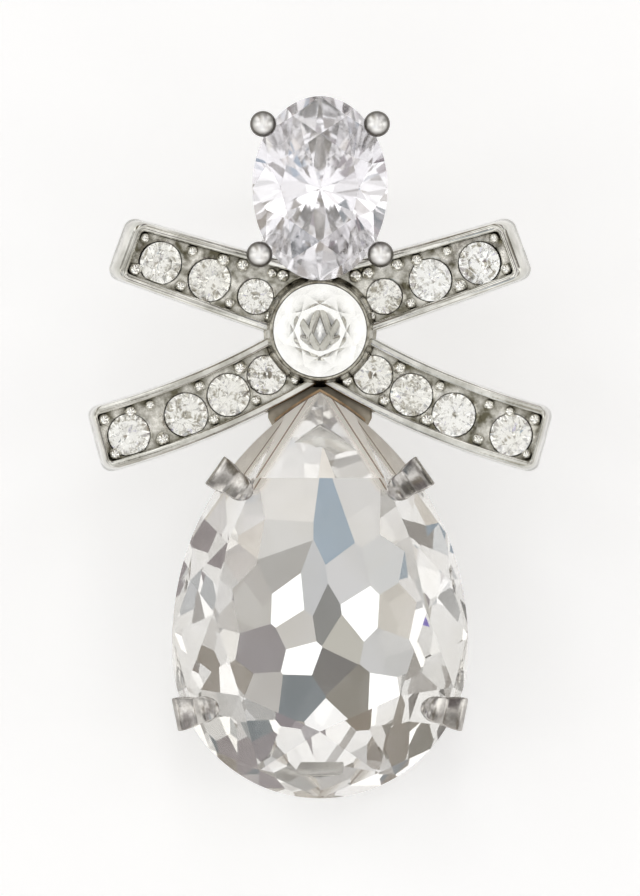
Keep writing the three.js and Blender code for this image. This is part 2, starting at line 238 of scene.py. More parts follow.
def plated_metal(name, light, shade, roughness, unevenness=0.25, recess_shade=(), grain=0.5):
    """Plating over a casting: tone changes at a grain per mm, uneven polish, and painted shade in recesses.

    Each recess shade is painted shade: its reach in mm, the openness at which it is fully dark and bare, and
    its colour."""
    material, shader = new_material(name)
    tree = material.node_tree
    shader.inputs["Metallic"].default_value = 1.0
    tone = object_noise(tree, grain)
    colour = colour_ramp(tree, tone.outputs["Fac"], [(0.35, shade), (0.65, light)])
    for reach_mm, low, high, dark in recess_shade:
        hollow = add_node(tree, "ShaderNodeAmbientOcclusion", samples=8)
        hollow.inputs["Distance"].default_value = reach_mm * 0.001
        openness = ranged(tree, hollow.outputs["AO"], 0.0, 1.0, low, high)
        colour = mixed(tree, openness, dark, colour)
    tree.links.new(colour, shader.inputs["Base Color"])
    polish = object_noise(tree, 1.4, 6.0)
    tree.links.new(ranged(tree, polish.outputs["Fac"], *roughness), shader.inputs["Roughness"])
    skin = object_noise(tree, 2.2, 3.0)
    add_bump(tree, shader, skin.outputs["Fac"], unevenness, 0.02)
    return material


def stone_material(name, ior, tint, clear_tint, roughness=0.0):
    """Clear cut stone: see-through, with a hardly visible drift of tint."""
    material, shader = new_material(name)
    tree = material.node_tree
    shader.inputs["Transmission Weight"].default_value = 1.0
    shader.inputs["IOR"].default_value = ior
    shader.inputs["Roughness"].default_value = roughness
    drift = object_noise(tree, 0.15, 1.0)
    colour = colour_ramp(tree, drift.outputs["Fac"], [(0.4, tint), (0.6, clear_tint)])
    tree.links.new(colour, shader.inputs["Base Color"])
    return material


def foil_material(name, light, shade, metallic, roughness, specks=None, glow=0.0):
    """Silvering on the back facets of a stone, a little milky where it isn't fully metallic.

    Specks are the number per mm and the colour of its worn spots. The glow is painted light, standing in for
    the light that the facets gather."""
    material, shader = new_material(name)
    tree = material.node_tree
    shader.inputs["Metallic"].default_value = metallic
    shader.inputs["Roughness"].default_value = roughness
    shader.inputs["Emission Color"].default_value = (*light, 1.0)
    shader.inputs["Emission Strength"].default_value = glow
    drift = object_noise(tree, 0.3, 2.0)
    colour = colour_ramp(tree, drift.outputs["Fac"], [(0.4, shade), (0.6, light)])
    if specks:
        scale, dark = specks
        pits = object_noise(tree, scale, 2.0, 0.6)
        colour = mixed(tree, ranged(tree, pits.outputs["Fac"], 0.0, 1.0, 0.34, 0.42), dark, colour)
    tree.links.new(colour, shader.inputs["Base Color"])
    return material


def pear_foil_material(name, light, shade, metallic, roughness):
    """The pear's silvering, dull under the two flanks of its point, with a painted beige reflection and a
    painted dark line under each.
    """
    material = foil_material(name, light, shade, metallic, roughness)
    tree = material.node_tree
    shader = tree.nodes["Principled BSDF"]
    clear = shader.inputs["Base Color"].links[0].from_socket
    u, v, _ = face_axes(tree)
    sideways = add_node(tree, "ShaderNodeMath", operation="ABSOLUTE")
    tree.links.new(u, sideways.inputs[0])
    outward = add_node(tree, "ShaderNodeMath", operation="MULTIPLY_ADD")
    tree.links.new(v, outward.inputs[0])
    outward.inputs[1].default_value = FLANK["slope"]
    tree.links.new(sideways.outputs["Value"], outward.inputs[2])
    across = outward.outputs["Value"]
    line = FLANK["from_u"] + FLANK["slope"] * PEAR["tip"]
    upper = ranged(tree, v, 0.0, 1.0, FLANK["fade_v"] - FLANK["fade"], FLANK["fade_v"])
    band = ranged(tree, across, 0.0, 1.0, line - FLANK["half_band"], line + FLANK["half_band"])
    beige = colour_ramp(tree, band, [(0.0, light)] + FLANK_TONES)
    tree.links.new(mixed(tree, upper, clear, beige), shader.inputs["Base Color"])
    low, high = line + FLANK["dull_from"], line + FLANK["dull_full"]
    dull = ranged(tree, across, roughness, FLANK["roughness"], low, high)
    blend = add_node(tree, "ShaderNodeMath", operation="MULTIPLY")
    tree.links.new(dull, blend.inputs[0])
    tree.links.new(upper, blend.inputs[1])
    tree.links.new(blend.outputs["Value"], shader.inputs["Roughness"])
    return material


def prong_metal(name, grey, roughness, unevenness):
    """Plating with a painted highlight on top of the prongs' balls and a painted dark reflection round their
    sides.
    """
    material = plated_metal(name, grey, grey, roughness, unevenness)
    tree = material.node_tree
    _, _, w = face_axes(tree)
    middle, radius = BASKET["ball_w"], BASKET["ball_radius"]
    height = ranged(tree, w, 0.0, 1.0, middle - radius, middle + radius)
    tree.links.new(colour_ramp(tree, height, BALL_TONES), tree.nodes["Principled BSDF"].inputs["Base Color"])
    return material


# Painted shade in recesses: the reach in mm, the openness at which it is fully dark and bare, and its colour.
RECESS_SHADE = (0.3, 0.2, 0.85, (0.08, 0.07, 0.05))
RIM_SHADE = (0.3, 0.1, 0.65, (0.08, 0.07, 0.05))
SEAT_SHADE = (0.3, 0.15, 0.85, (0.11, 0.1, 0.065))
DEEP_SHADE = (1.6, 0.0, 0.6, (0.26, 0.24, 0.2))
RHODIUM = plated_metal(
    "polished_rhodium", (0.65, 0.64, 0.61), (0.57, 0.56, 0.53), (0.08, 0.18), 0.25, [DEEP_SHADE]
)
BEAD_METAL = plated_metal(
    "bead_rhodium", (0.97, 0.96, 0.91), (0.88, 0.87, 0.81), (0.12, 0.22), 0.4, [RIM_SHADE]
)
PAVE_FLOOR = plated_metal(
    "pave_floor", (0.92, 0.9, 0.83), (0.13, 0.12, 0.08), (0.14, 0.3), 1.0, [SEAT_SHADE], 1.4
)
ARM_METAL = plated_metal(
    "cast_rhodium", (0.8, 0.79, 0.74), (0.5, 0.49, 0.44), (0.05, 0.13), 0.45, [DEEP_SHADE, RIM_SHADE], 0.9
)
KNOT_METAL = plated_metal(
    "knot_rhodium", (0.66, 0.64, 0.56), (0.2, 0.18, 0.135), (0.16, 0.3), 1.0, [DEEP_SHADE, RECESS_SHADE], 2.4
)
PRONG_GREY = (0.58, 0.57, 0.55)
PAINTED_BALL_RIM = (0.13, 0.12, 0.105)
PAINTED_BALL_HIGHLIGHT = (1.0, 0.99, 0.97)
# Tones at shares of the height of a prong's ball: a painted dark reflection round its sides, a painted
# highlight on top.
BALL_TONES = [(0.15, PRONG_GREY), (0.3, PAINTED_BALL_RIM), (0.76, PAINTED_BALL_RIM), (0.86, PRONG_GREY), (0.95, PAINTED_BALL_HIGHLIGHT)]
PRONG_METAL = prong_metal("prong_rhodium", PRONG_GREY, (0.34, 0.4), 0.2)
CLAW_METAL = plated_metal(
    "claw_rhodium", (0.6, 0.58, 0.55), (0.32, 0.3, 0.28), (0.14, 0.26), 0.4, (), 1.6
)
# Rough unpolished metal, darkened all over as painted shade for the bridge behind the bow.
SHADED_BRIDGE_METAL = plated_metal(
    "unpolished_rhodium_painted_shade", (0.48, 0.43, 0.35), (0.34, 0.3, 0.24), (0.3, 0.45), 0.8, [RECESS_SHADE], 1.5
)
# Brown all over: the painted shadow of the gap round the pear's point.
GAP_SHADOW_METAL = plated_metal(
    "gap_shadow_rhodium", (0.36, 0.25, 0.15), (0.22, 0.14, 0.08), (0.2, 0.35), 0.5, [RECESS_SHADE], 1.8
)
POST_STEEL = plated_metal("drawn_steel", (0.66, 0.66, 0.66), (0.56, 0.56, 0.57), (0.16, 0.3), 0.4)
CRYSTAL = stone_material("cut_crystal", 1.56, (0.985, 0.98, 0.965), (0.99, 0.99, 0.985))
ZIRCONIA = stone_material("cut_zirconia", 2.15, (0.905, 0.885, 0.92), (0.92, 0.905, 0.93), 0.05)
# The painted reflection under the pear's flanks: a dark line and a beige.
PAINTED_FLANK_LINE = (0.3, 0.19, 0.11)
FLANK_BEIGE = (1.0, 0.95, 0.88)
# Tones at shares of that band's width, from the middle of the pear outwards: a painted beige reflection with
# a painted dark line in it.
FLANK_TONES = [
    (0.3, FLANK_BEIGE), (0.5, FLANK_BEIGE), (0.53, PAINTED_FLANK_LINE), (0.56, PAINTED_FLANK_LINE), (0.6, FLANK_BEIGE),
]
PEAR_FOIL = pear_foil_material("stone_foil", (0.96, 0.955, 0.95), (0.93, 0.92, 0.9), 0.82, 0.02)
# The round stone's foil glows: painted light for the light its facets gather.
ROUND_FOIL = foil_material(
    "round_stone_foil", (0.78, 0.78, 0.77), (0.73, 0.725, 0.715), 1.0, 0.22, glow=0.43
)
WORN_FOIL = foil_material(
    "worn_stone_foil", (1.0, 1.0, 0.99), (0.95, 0.945, 0.92), 1.0, 0.1, (2.0, (0.5, 0.48, 0.42))
)

# ------------------------------------------------------------------ mesh helpers


def finish_piece(name, bm, materials, sharp_deg=40.0):
    """Lays a piece down in the row's frame and makes it an object that rides on the earring."""
    bmesh.ops.remove_doubles(bm, verts=bm.verts, dist=1e-4)
    bmesh.ops.recalc_face_normals(bm, faces=bm.faces)
    bmesh.ops.transform(bm, matrix=TO_ROW, verts=bm.verts)
    mesh = bpy.data.meshes.new(name)
    bm.to_mesh(mesh)
    bm.free()
    for material in materials:
        mesh.materials.append(material)
    if sharp_deg:
        mesh.shade_smooth()
        mesh.set_sharp_from_angle(angle=math.radians(sharp_deg))
    piece = bpy.data.objects.new(name, mesh)
    bpy.context.scene.collection.objects.link(piece)
    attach(piece, "root")
    return piece


def append(bm, other):
    """Adds another bmesh to bm and frees it."""
    scratch = bpy.data.meshes.new("scratch")
    other.to_mesh(scratch)
    bm.from_mesh(scratch)
    bpy.data.meshes.remove(scratch)
    other.free()


def loop_of(bm, points):
    """A closed loop of edges through points."""
    verts = [bm.verts.new(p) for p in points]
    return [bm.edges.new((a, b)) for a, b in zip(verts, verts[1:] + verts[:1])]


def extrude_loop(bm, edges, move):
    """Extrudes a loop of edges and moves each new vertex by a function of its place."""
    made = bmesh.ops.extrude_edge_only(bm, edges=edges)["geom"]
    for vert in (g for g in made if isinstance(g, bmesh.types.BMVert)):
        vert.co = move(vert.co)
    return [g for g in made if isinstance(g, bmesh.types.BMEdge)]


def raise_faces(bm, faces, height):
    """Extrudes flat faces into a slab of a height."""
    made = bmesh.ops.extrude_face_region(bm, geom=faces)["geom"]
    raised = [g for g in made if isinstance(g, bmesh.types.BMVert)]
    bmesh.ops.translate(bm, verts=raised, vec=(0, 0, height))
    bmesh.ops.recalc_face_normals(bm, faces=bm.faces)


def level_edges(bm):
    """The edges that don't rise in w."""
    return [e for e in bm.edges if abs(e.verts[0].co.z - e.verts[1].co.z) < 1e-6]


def prism(points, from_w, to_w, bevel=0.0, segments=2):
    """A slab, bevelled if asked: a flat outline in (u, v) raised from one w to another."""
    bm = bmesh.new()
    foot = bm.faces.new([bm.verts.new((u, v, from_w)) for u, v in points])
    raise_faces(bm, [foot], to_w - from_w)
    if bevel:
        round_edges(bm, level_edges(bm), bevel, segments)
    return bm


def round_edges(bm, edges, offset, segments=2):
    """Rounds edges by an offset, in some segments."""
    bmesh.ops.bevel(
        bm, geom=edges, offset=offset, offset_type="OFFSET", segments=segments,
        profile=0.5, affect="EDGES", material=-1, clamp_overlap=True,
    )


def lathe(profile, centre_v=0.0, steps=96):
    """A turned piece about the w axis through (0, centre_v), from (radius, w) pairs."""
    bm = bmesh.new()
    verts = [bm.verts.new((r, centre_v, w)) for r, w in profile]
    edges = [bm.edges.new(pair) for pair in zip(verts, verts[1:])]
    bmesh.ops.spin(
        bm, geom=verts + edges, cent=(0, centre_v, 0), axis=(0, 0, 1),
        angle=2 * math.pi, steps=steps, use_merge=True,
    )
    bmesh.ops.remove_doubles(bm, verts=bm.verts, dist=1e-4)
    return bm


def slice_across(bm, length, count):
    """Cuts a straight blank into short lengths along x, so that it can be bent."""
    for i in range(1, count):
        bmesh.ops.bisect_plane(
            bm, geom=bm.verts[:] + bm.edges[:] + bm.faces[:], dist=1e-5,
            plane_co=(length * i / count, 0, 0), plane_no=(1, 0, 0),
        )


# ------------------------------------------------------------------ outlines


def ellipse_outline(half_width, half_height, centre_v=0.0, steps=96):
    """Points of an ellipse, anticlockwise from its right-hand end."""
    turns = [2 * math.pi * i / steps for i in range(steps)]
    return [(half_width * math.cos(a), centre_v + half_height * math.sin(a)) for a in turns]


def pear_outline(steps=36):
    """The pear's outline, anticlockwise from its point: a curved side, the round end, the other side."""
    radius, centre = PEAR["radius"], PEAR["centre"]
    side = interpolate_bezier((0, PEAR["tip"]), (-3.3, -4.55), (-6.6, -8.3), (-radius, centre), steps + 1)
    left = [(p.x, p.y) for p in side[:-1]]
    turns = [math.pi + math.pi * i / (2 * steps) for i in range(2 * steps + 1)]
    foot = [(radius * math.cos(a), centre + radius * math.sin(a)) for a in turns]
    return left + foot + [(-u, v) for u, v in reversed(left[1:])]


def drawn_in(outline, scale, centre_v):
    """An outline scaled about (0, centre_v)."""
    return [(u * scale, centre_v + (v - centre_v) * scale) for u, v in outline]


def outline_at(outline, centre_v, degrees):
    """Point and tangent of an outline where a ray from (0, centre_v) at an angle leaves it."""
    angle = math.radians(degrees)
    start = Vector((0.0, centre_v))
    far = start + 50 * Vector((math.cos(angle), math.sin(angle)))
    for a, b in zip(outline, outline[1:] + outline[:1]):
        hit = intersect_line_line_2d(start, far, Vector(a), Vector(b))
        if hit:
            return Vector(hit), (Vector(b) - Vector(a)).normalized()
    raise ValueError("the ray misses the outline")


# ------------------------------------------------------------------ cut stones


def upright_plane(points, outward):
    """(point, normal) of the plane through three points, with its normal on the outward side."""
    normal = (points[1] - points[0]).cross(points[2] - points[0]).normalized()
    return points[0], normal if normal.dot(outward) > 0 else -normal


def meet_at(plane_a, plane_b, w):
    """Where two facet planes and a level w meet."""
    rows = Matrix((plane_a[1], plane_b[1], Vector((0, 0, 1))))
    return rows.inverted() @ Vector((plane_a[0].dot(plane_a[1]), plane_b[0].dot(plane_b[1]), w))


def main_facet(outline, centre_v, degrees, edge_w, far_w, far_scale):
    """A facet along the girdle's tangent, rising or falling to a drawn-in copy of the outline."""
    point, tangent = outline_at(outline, centre_v, degrees)
    if degrees == 90:
        tangent = Vector((1, 0))
    edge = Vector((*point, edge_w))
    centre = Vector((0, centre_v, far_w))
    far = centre + far_scale * (Vector((*point, far_w)) - centre)
    return upright_plane([edge, edge + Vector((*tangent, 0)), far], Vector((0, 0, far_w - edge_w)))


def half_facets(outline, centre_v, angles, mains, edge_w, far_w, share):
    """The pairs of half facets on the girdle between each two mains, and the points where they meet.

    Two mains meet at that share of the way from edge_w to far_w."""
    planes, meets = [], []
    ring = list(angles) + [angles[0] + 360]
    for a, b, left, right in zip(ring, ring[1:], mains, mains[1:] + mains[:1]):
        meet = meet_at(left, right, edge_w + share * (far_w - edge_w))
        meets.append(meet)
        girdle = [Vector((*outline_at(outline, centre_v, d)[0], edge_w)) for d in (a, (a + b) / 2, b)]
        for pair in ((girdle[0], girdle[1]), (girdle[1], girdle[2])):
            planes.append(upright_plane([*pair, meet], Vector((0, 0, far_w - edge_w))))
    return planes, meets


def crown_facets(outline, centre_v, cutting, angles, scales, share=0.52):
    """Bezel, upper half and star facets of a brilliant's crown, the last two in order round it.

    A main facet reaches the table where the outline is drawn in to the main's own scale."""
    edge, top = cutting["girdle_top"], cutting["table_w"]
    mains = [main_facet(outline, centre_v, d, edge, top, scale) for d, scale in zip(angles, scales)]
    halves, meets = half_facets(outline, centre_v, angles, mains, edge, top, share)
    corners = []
    for degrees, scale in zip(angles, scales):
        point = outline_at(outline, centre_v, degrees)[0]
        corners.append(Vector((point.x * scale, centre_v + (point.y - centre_v) * scale, top)))
    stars = [
        upright_plane([corner, following, meet], Vector((0, 0, 1)))
        for corner, following, meet in zip(corners, corners[1:] + corners[:1], meets)
    ]
    return mains, halves, stars


def pavilion_facets(outline, centre_v, cutting, angles, share=0.74):
    """Main and lower half facets of a brilliant's back."""
    edge, foot = cutting["girdle_foot"], cutting["culet_w"]
    mains = [main_facet(outline, centre_v, d, edge, foot, 0.0) for d in angles]
    return mains + half_facets(outline, centre_v, angles, mains, edge, foot, share)[0]


def cut_stone(outline, cutting, facets):
    """A blank of the outline, ground on its facet planes the way a lapidary cuts it."""
    bm = prism(outline, cutting["culet_w"] - 0.1, cutting["table_w"])
    for point, normal in facets:
        grind(bm, point, normal)
    bmesh.ops.remove_doubles(bm, verts=bm.verts, dist=2e-3)
    bmesh.ops.recalc_face_normals(bm, faces=bm.faces)
    return bm


def brilliant(outline, centre_v, cutting, crown_angles, back_angles):
    """A stone with the facets of a round brilliant, on any outline."""
    scales = [cutting["table_scale"]] * len(crown_angles)
    mains, halves, stars = crown_facets(outline, centre_v, cutting, crown_angles, scales)
    back = pavilion_facets(outline, centre_v, cutting, back_angles)
    return cut_stone(outline, cutting, mains + halves + stars + back)


def grind(bm, point, normal):
    """Takes away what stands outside a plane and closes the stone with the new facet."""
    cut = bmesh.ops.bisect_plane(
        bm, geom=bm.verts[:] + bm.edges[:] + bm.faces[:], dist=1e-5,
        plane_co=point, plane_no=normal, clear_outer=True,
    )["geom_cut"]
    rim = [g for g in cut if isinstance(g, bmesh.types.BMEdge) and g.is_boundary]
    if len(rim) > 2:
        bmesh.ops.contextual_create(bm, geom=rim)


def silver_back(bm, from_slope=-0.12):
    """Gives the back facets the second material, the silvering."""
    for face in bm.faces:
        if face.normal.z < from_slope:
            face.material_index = 1


EIGHT = [90 + 45 * i for i in range(8)]
TWELVE = [90 + 30 * i for i in range(12)]
PEAR_CROWN_ANGLES = [128, 170, 207, 240, 270, 300, 333, 370, 412]
# The (u, v) where each facet under the table touches the bowl that the pear's back follows.
PEAR_BACK_CELLS = [
    (0.35, -8.6), (-1.5, -7.6), (1.9, -7.9), (-1.8, -9.1), (-3.3, -8.7), (3.3, -8.2), (-1.7, -10.4),
    (1.4, -10.9), (2.8, -10.3), (4.4, -10.8), (-3.8, -10.1), (-0.1, -11.3), (-3.0, -11.7), (-1.3, -11.9),
    (-4.6, -12.0), (0.1, -12.6), (1.8, -12.3), (3.4, -12.3), (4.9, -12.9), (-0.9, -13.2), (0.9, -13.6),
    (-2.5, -14.2), (-0.7, -14.4), (0.45, -14.9), (3.0, -14.2), (-4.9, -14.1), (-0.9, -16.1), (1.4, -16.1),
    (-2.6, -16.1), (-3.9, -15.7), (2.9, -16.4), (4.2, -16.4), (0.3, -17.6), (-2.7, -17.8), (-1.2, -18.4),
    (3.3, -17.8), (1.8, -18.7),
]
# The facets outside them: directions from the culet, mirrored, and how far along each they touch the bowl.
PEAR_GIRDLE_CELLS = [20, -12, -45, -74]
GIRDLE_CELL_REACH = 0.86


def bowl_height(reach):
    """The w of the bowl that the pear's back follows, at a share of the way from culet to girdle."""
    return PEAR["culet_w"] + (PEAR["girdle_foot"] - PEAR["culet_w"]) * reach ** PEAR["bowl_power"]


def bowl_facet(outline, u, v):
    """The facet that touches the bowl at a point of the face."""
    culet, power = PEAR["culet_v"], PEAR["bowl_power"]
    offset = Vector((u, v - culet))
    degrees = 90.0 if u == 0 and v > culet else math.degrees(math.atan2(offset.y, offset.x)) % 360
    edge, tangent = outline_at(outline, culet, degrees)
    if degrees == 90:
        tangent = Vector((1, 0))
    radius = edge - Vector((0, culet))
    reach = offset.length / radius.length
    across = Vector((tangent.y, -tangent.x))
    slope = across / across.dot(radius)
    slope *= (PEAR["girdle_foot"] - PEAR["culet_w"]) * power * reach ** (power - 1)
    return Vector((u, v, bowl_height(reach))), Vector((slope.x, slope.y, -1)).normalized()


def pear_back():
    """The pear's back: facets of uneven sizes under the table and a ring of larger ones, all on a bowl."""
    outline, culet = pear_outline(60), Vector((0, PEAR["culet_v"]))
    cells = list(PEAR_BACK_CELLS)
    for degrees in PEAR_GIRDLE_CELLS:
        edge = outline_at(outline, culet.y, degrees)[0]
        point = culet + GIRDLE_CELL_REACH * (edge - culet)
        cells += [(point.x, point.y), (-point.x, point.y)]
    return [bowl_facet(outline, u, v) for u, v in cells]


def pear_crown(outline):
    """The pear's crown: one long facet down from its point, a wide one on each flank, and a brilliant's
    facets round the rest."""
    centre, flank = PEAR["table_v"], PEAR["flank_scale"]
    scales = [flank] + [PEAR["table_scale"]] * (len(PEAR_CROWN_ANGLES) - 2) + [flank]
    mains, halves, stars = crown_facets(outline, centre, PEAR, PEAR_CROWN_ANGLES, scales, share=0.4)
    tip = main_facet(outline, centre, 90, PEAR["girdle_top"], PEAR["table_w"], PEAR["tip_scale"])
    return [tip] + mains + halves[:-2] + stars[:-1]


def pear_stone():
    """The large pear-shaped crystal."""
    outline = pear_outline()
    bm = cut_stone(outline, PEAR, pear_crown(outline) + pear_back())
    silver_back(bm)
    stone = finish_piece("pear_crystal", bm, [CRYSTAL, PEAR_FOIL], None)
    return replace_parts(stone, "pear_stone")


def oval_stone():
    """The oval zirconia, clear to its back."""
    outline = ellipse_outline(OVAL["half_width"], OVAL["half_height"], OVAL["centre"])
    bm = brilliant(outline, OVAL["centre"], OVAL, EIGHT, TWELVE)
    stone = finish_piece("oval_zirconia", bm, [ZIRCONIA], None)
    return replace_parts(stone, "oval_stone")


def round_stone():
    """The round crystal on the knot."""
    outline = ellipse_outline(ROUND["radius"], ROUND["radius"])
    bm = brilliant(outline, 0.0, ROUND, EIGHT, EIGHT)
    silver_back(bm)
    stone = finish_piece("round_crystal", bm, [CRYSTAL, ROUND_FOIL], None)
    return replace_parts(stone, "round_stone")


# ------------------------------------------------------------------ ribbon arms


class ArmPath:
    """The bent centre line of a ribbon arm, with its forward lift."""

    STEPS = 200

    def __init__(self, row, side):
        """Walks the line in short steps, on the side 1 (right) or -1 (left)."""
        self.row = row
        root, bend, end = (Vector((side * p[0], p[1])) for p in (row["root"], row["bend"], row["end"]))
        self.line = []
        for i in range(self.STEPS + 1):
            t = i / self.STEPS
            self.line.append(root * (1 - t) ** 2 + bend * 2 * t * (1 - t) + end * t * t)
        self.reach = [0.0]
        for a, b in zip(self.line, self.line[1:]):
            self.reach.append(self.reach[-1] + (b - a).length)
        self.length = self.reach[-1]

    def flat(self, x):
        """Point and heading at a distance x along the flat centre line."""
        x = min(max(x, 0.0), self.length)
        i = min(next(k for k, r in enumerate(self.reach) if r >= x - 1e-9), len(self.reach) - 1)
        i = max(i, 1)
        a, b = self.line[i - 1], self.line[i]
        share = (x - self.reach[i - 1]) / (self.reach[i] - self.reach[i - 1])
        return a.lerp(b, share), (b - a).normalized()

    def axes(self, x):
        """Place of the rim's level, and the along, across and up directions, at a distance x."""
        point, heading = self.flat(x)
        start = ARM["lift_start"]
        beyond = max(0.0, x / self.length - start) / (1 - start)
        rise = self.row["lift"] * beyond ** 2
        slope = 2 * self.row["lift"] * beyond / ((1 - start) * self.length)
        along = Vector((heading.x, heading.y, slope)).normalized()
        across = Vector((-heading.y, heading.x, 0))
        return Vector((point.x, point.y, ARM["top"] + rise)), along, across, along.cross(across)

    def place(self, co):
        """A point of the straight blank, bent into the arm."""
        origin, _, across, up = self.axes(co.x)
        return origin + across * co.y + up * co.z

    def find(self, u, v):
        """(x, y) of the blank for a point of the face."""
        target = Vector((u, v))
        i = min(range(len(self.line)), key=lambda k: (self.line[k] - target).length)
        _, heading = self.flat(self.reach[i])
        offset = target - self.line[i]
        return self.reach[i] + offset.dot(heading), offset.dot(Vector((-heading.y, heading.x)))


def bend_to(bm, place):
    """Moves each vertex to where a function places it."""
    for vert in bm.verts:
        vert.co = place(vert.co)


def arm_plan(length, half, corner, flare=0.0):
    """A flat face from the knot to the arm's end, with its two outer corners rounded.

    It is wider at the knot by its flare, on the side of the flare's sign."""
    bm = bmesh.new()
    root_right, root_left = min(flare, 0.0) - half, half + max(flare, 0.0)
    corners = ((0, root_right, 0), (length, -half, 0), (length, half, 0), (0, root_left, 0))
    face = bm.faces.new([bm.verts.new(p) for p in corners])
    outer = [v for v in face.verts if v.co.x > 0]
    bmesh.ops.bevel(
        bm, geom=outer, offset=corner, segments=7, profile=0.5, affect="VERTICES", material=-1,
    )
    return bm


def ribbon_arm(name, row, side):
    """One ribbon end: a bar with rounded outer corners, a raised rim and a pit for its stones."""
    path = ArmPath(row, side)
    half = row["width"] / 2 - ARM["side_draft"]
    bm = arm_plan(path.length, half, ARM["corner_radius"], side * row["flare"])
    bmesh.ops.translate(bm, verts=bm.verts, vec=(0, 0, -ARM["thickness"]))
    raise_faces(bm, bm.faces[:], ARM["thickness"])
    top = [f for f in bm.faces if f.normal.z > 0.9 and f.calc_center_median().z > -0.01]
    bmesh.ops.inset_region(bm, faces=top, thickness=ARM["rim"], depth=0, use_even_offset=True)
    spread = (ARM["rim"] - row["end_rim"]) / (path.length - ARM["rim"])
    for vert in {v for f in top for v in f.verts}:
        vert.co.x *= 1 + spread
    bmesh.ops.inset_region(
        bm, faces=top, thickness=ARM["wall_slope"], depth=-ARM["pit_depth"], use_even_offset=True
    )
    level = [e for e in bm.edges if all(abs(v.co.z) < 1e-5 for v in e.verts) and len(e.link_faces) == 2]
    rims = [e for e in level if e.calc_face_angle(0) > 0.5]
    feet = [e for e in bm.edges if all(abs(v.co.z + ARM["thickness"]) < 1e-5 for v in e.verts)]
    round_edges(bm, rims, ARM["rim_bevel"], 4)
    round_edges(bm, feet, ARM["foot_bevel"])
    slice_across(bm, path.length, ARM["bends"])
    for vert in bm.verts:
        vert.co.y += math.copysign(ARM["side_draft"], vert.co.y) * min(1.0, -vert.co.z / ARM["thickness"])
    bend_to(bm, path.place)
    return finish_piece(name, bm, [ARM_METAL])


def pave_floor(name, row, side, stones):
    """The channel's floor, drilled with a countersunk seat for each small stone."""
    path = ArmPath(row, side)
    half = row["width"] / 2 - ARM["side_draft"] - ARM["rim"] - ARM["floor_gap"]
    length = path.length - row["end_rim"] - ARM["floor_gap"]
    bm = arm_plan(length, half, 0.5 * ARM["corner_radius"], side * row["flare"])
    bmesh.ops.delete(bm, geom=bm.faces[:], context="FACES_ONLY")
    seats = []
    for u, v, radius in stones:
        x, y = path.find(side * u, v)
        centre = Vector((x, y, 0))
        ring = bmesh.ops.create_circle(
            bm, cap_ends=False, segments=32, radius=radius + SEAT["lip"], matrix=Matrix.Translation(centre)
        )["verts"]
        seats.append((centre, radius, list({e for vert in ring for e in vert.link_edges})))
    bmesh.ops.triangle_fill(bm, edges=bm.edges[:], use_beauty=True, use_dissolve=False, normal=(0, 0, 1))
    for centre, radius, edges in seats:
        narrow = (radius + SEAT["wall"]) / (radius + SEAT["lip"])
        cone, bore = Vector((0, 0, SEAT["cone"])), Vector((0, 0, SEAT["bore"]))
        edges = extrude_loop(bm, edges, lambda co: centre + (co - centre) * narrow - cone)
        extrude_loop(bm, edges, lambda co: co - bore)
    bmesh.ops.translate(bm, verts=bm.verts, vec=(0, 0, -ARM["channel_depth"]))
    slice_across(bm, path.length, ARM["bends"])
    bend_to(bm, path.place)
    return finish_piece(name, bm, [PAVE_FLOOR])


def small_stones(name, row, side, stones):
    """The small round stones of one arm, each cut with eight main facets and silvered behind.

    Each is turned a little further than the last."""
    path = ArmPath(row, side)
    level = SMALL_STONE["proud"]
    foot = level - SMALL_STONE["girdle"]
    bm = bmesh.new()
    for k, (u, v, radius) in enumerate(stones):
        x, y = path.find(side * u, v)
        cutting = {
            "table_w": level + SMALL_STONE["crown"] * radius / SMALL_STONE["radius"],
            "girdle_top": level, "girdle_foot": foot,
            "culet_w": foot - SMALL_STONE["pavilion"] * radius / SMALL_STONE["radius"],
            "table_scale": SMALL_STONE["table_scale"],
        }
        stone = brilliant(ellipse_outline(radius, radius, 0.0, 32), 0.0, cutting, EIGHT, EIGHT)
        silver_back(stone)
        bmesh.ops.rotate(stone, verts=stone.verts, matrix=Matrix.Rotation(0.4 * k + 0.2 * side, 3, "Z"))
        origin, along, across, up = path.axes(x)
        turn = Matrix((along, across, up)).transposed()
        for vert in stone.verts:
            vert.co = origin + across * y - up * ARM["channel_depth"] + turn @ vert.co
        append(bm, stone)
    return finish_piece(name, bm, [CRYSTAL, WORN_FOIL], None)


def grains(name, row, side, stones):
    """The beads raised from the floor round the stones to hold them, no two quite alike."""
    path = ArmPath(row, side)
    places = [(*path.find(side * u, v), radius) for u, v, radius in stones]
    inner = row["width"] / 2 - ARM["side_draft"] - ARM["rim"]
    end = path.length - row["end_rim"]

    def wall(x, turn):
        """How far the channel's wall is from the middle, at x on one side."""
        return inner + (row["flare"] * (1 - x / path.length) if turn == side else 0.0)

    xs = [(xa + ra + xb - rb) / 2 for (xa, _, ra), (xb, _, rb) in zip(places, places[1:])]
    xs += [end - BEAD["radius"] - BEAD["from_end"], places[0][0] - places[0][2] - BEAD["from_stone"]]
    spots = [(x, turn * (wall(x, turn) - BEAD["radius"])) for x in xs for turn in (1, -1)]
    beside = BEAD["beside"]
    for x, y, radius in places:
        roomy = [t for t in (1, -1) if wall(x, t) - t * y > radius + beside]
        spots += [(x - beside, t * (wall(x, t) - BEAD["radius"])) for t in roomy]
    bm = bmesh.new()
    for k, (x, y) in enumerate(spots):
        radius = BEAD["radius"] * (1 + BEAD["vary"] * math.sin(2.3 * k + side))
        origin, _, across, up = path.axes(x + BEAD["stray"] * math.sin(3.1 * k))
        centre = origin + across * y - up * (ARM["channel_depth"] - BEAD["sink"])
        bmesh.ops.create_icosphere(bm, subdivisions=3, radius=radius, matrix=Matrix.Translation(centre))
    return finish_piece(name, bm, [BEAD_METAL])


# ------------------------------------------------------------------ settings


